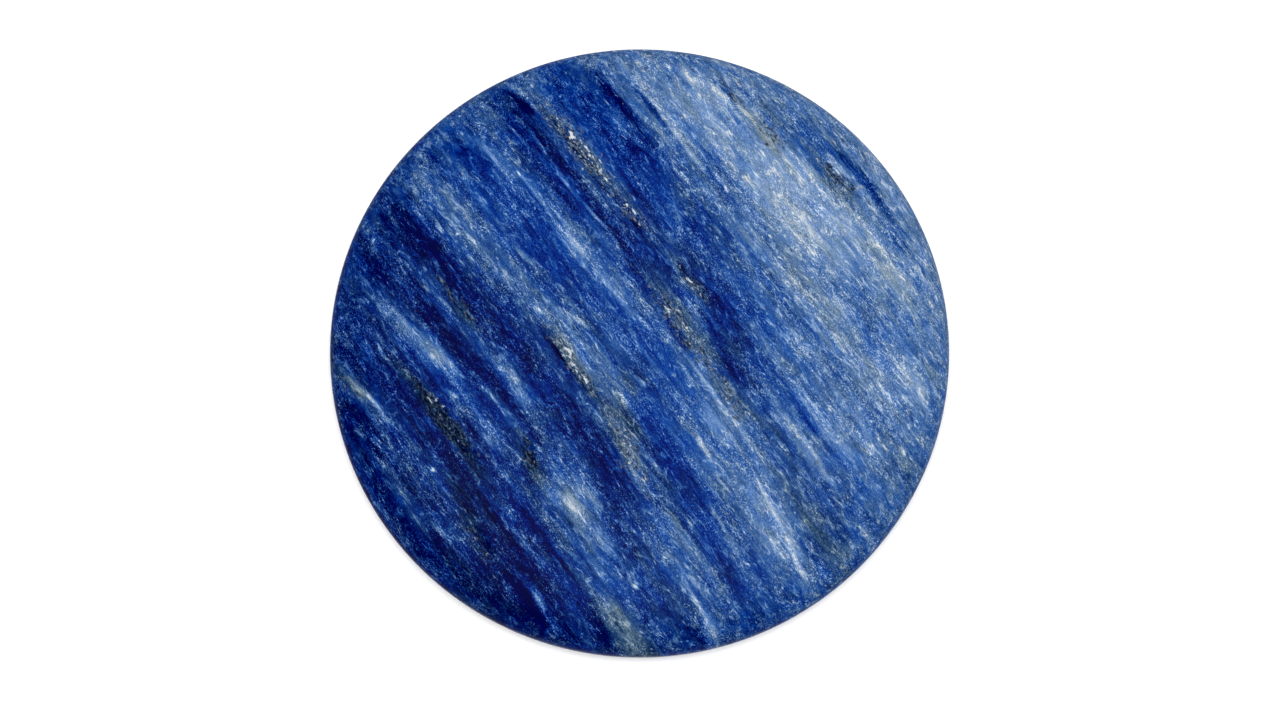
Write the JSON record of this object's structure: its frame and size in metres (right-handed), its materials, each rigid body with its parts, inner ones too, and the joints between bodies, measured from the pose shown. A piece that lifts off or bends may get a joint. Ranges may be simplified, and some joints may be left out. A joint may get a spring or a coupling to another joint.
{
  "type": "polished kyanite disc",
  "caption": "Round polished disc of blue banded kyanite with a low domed face, a rounded girdle and a flat back to rest on.",
  "frame": {"origin": "middle of the flat back", "axes": "+Z out of the domed face, +X to the right and +Y away as the disc is seen in the picture"},
  "size_m": [0.09, 0.09, 0.01],
  "materials": {
    "kyanite": "polished, with unpolished seams"
  },
  "bodies": {
    "root": {"kyanite_disc": "kyanite"}
  },
  "joints": []
}
